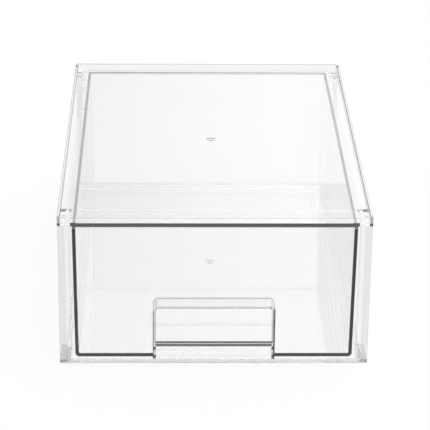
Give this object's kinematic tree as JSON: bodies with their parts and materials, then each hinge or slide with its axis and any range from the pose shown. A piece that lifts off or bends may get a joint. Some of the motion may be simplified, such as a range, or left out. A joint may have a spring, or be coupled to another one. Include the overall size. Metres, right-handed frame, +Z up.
{
  "type": "stackable drawer box",
  "caption": "Clear stackable storage box: a snapped case of flat panels with a rim on top and a plinth below that nest, and a sliding drawer with a finger pull.",
  "frame": {"origin": "middle of the case's footprint, on the surface that it stands on", "axes": "+X to the right seen from the front, +Y from the drawer's front to the back, +Z up"},
  "size_m": [0.235, 0.34, 0.1264],
  "materials": {
    "clear_plastic": "clear, polished"
  },
  "bodies": {
    "case": {"top_panel": "clear_plastic", "base_panel": "clear_plastic", "side_panel_left": "clear_plastic", "side_panel_right": "clear_plastic", "back_panel": "clear_plastic"},
    "drawer": {"drawer": "clear_plastic"}
  },
  "joints": [
    {"name": "drawer_slide", "type": "slide", "parent": "case", "child": "drawer", "axis": [0, -1, 0], "range_m": [0, 0.3055]}
  ]
}
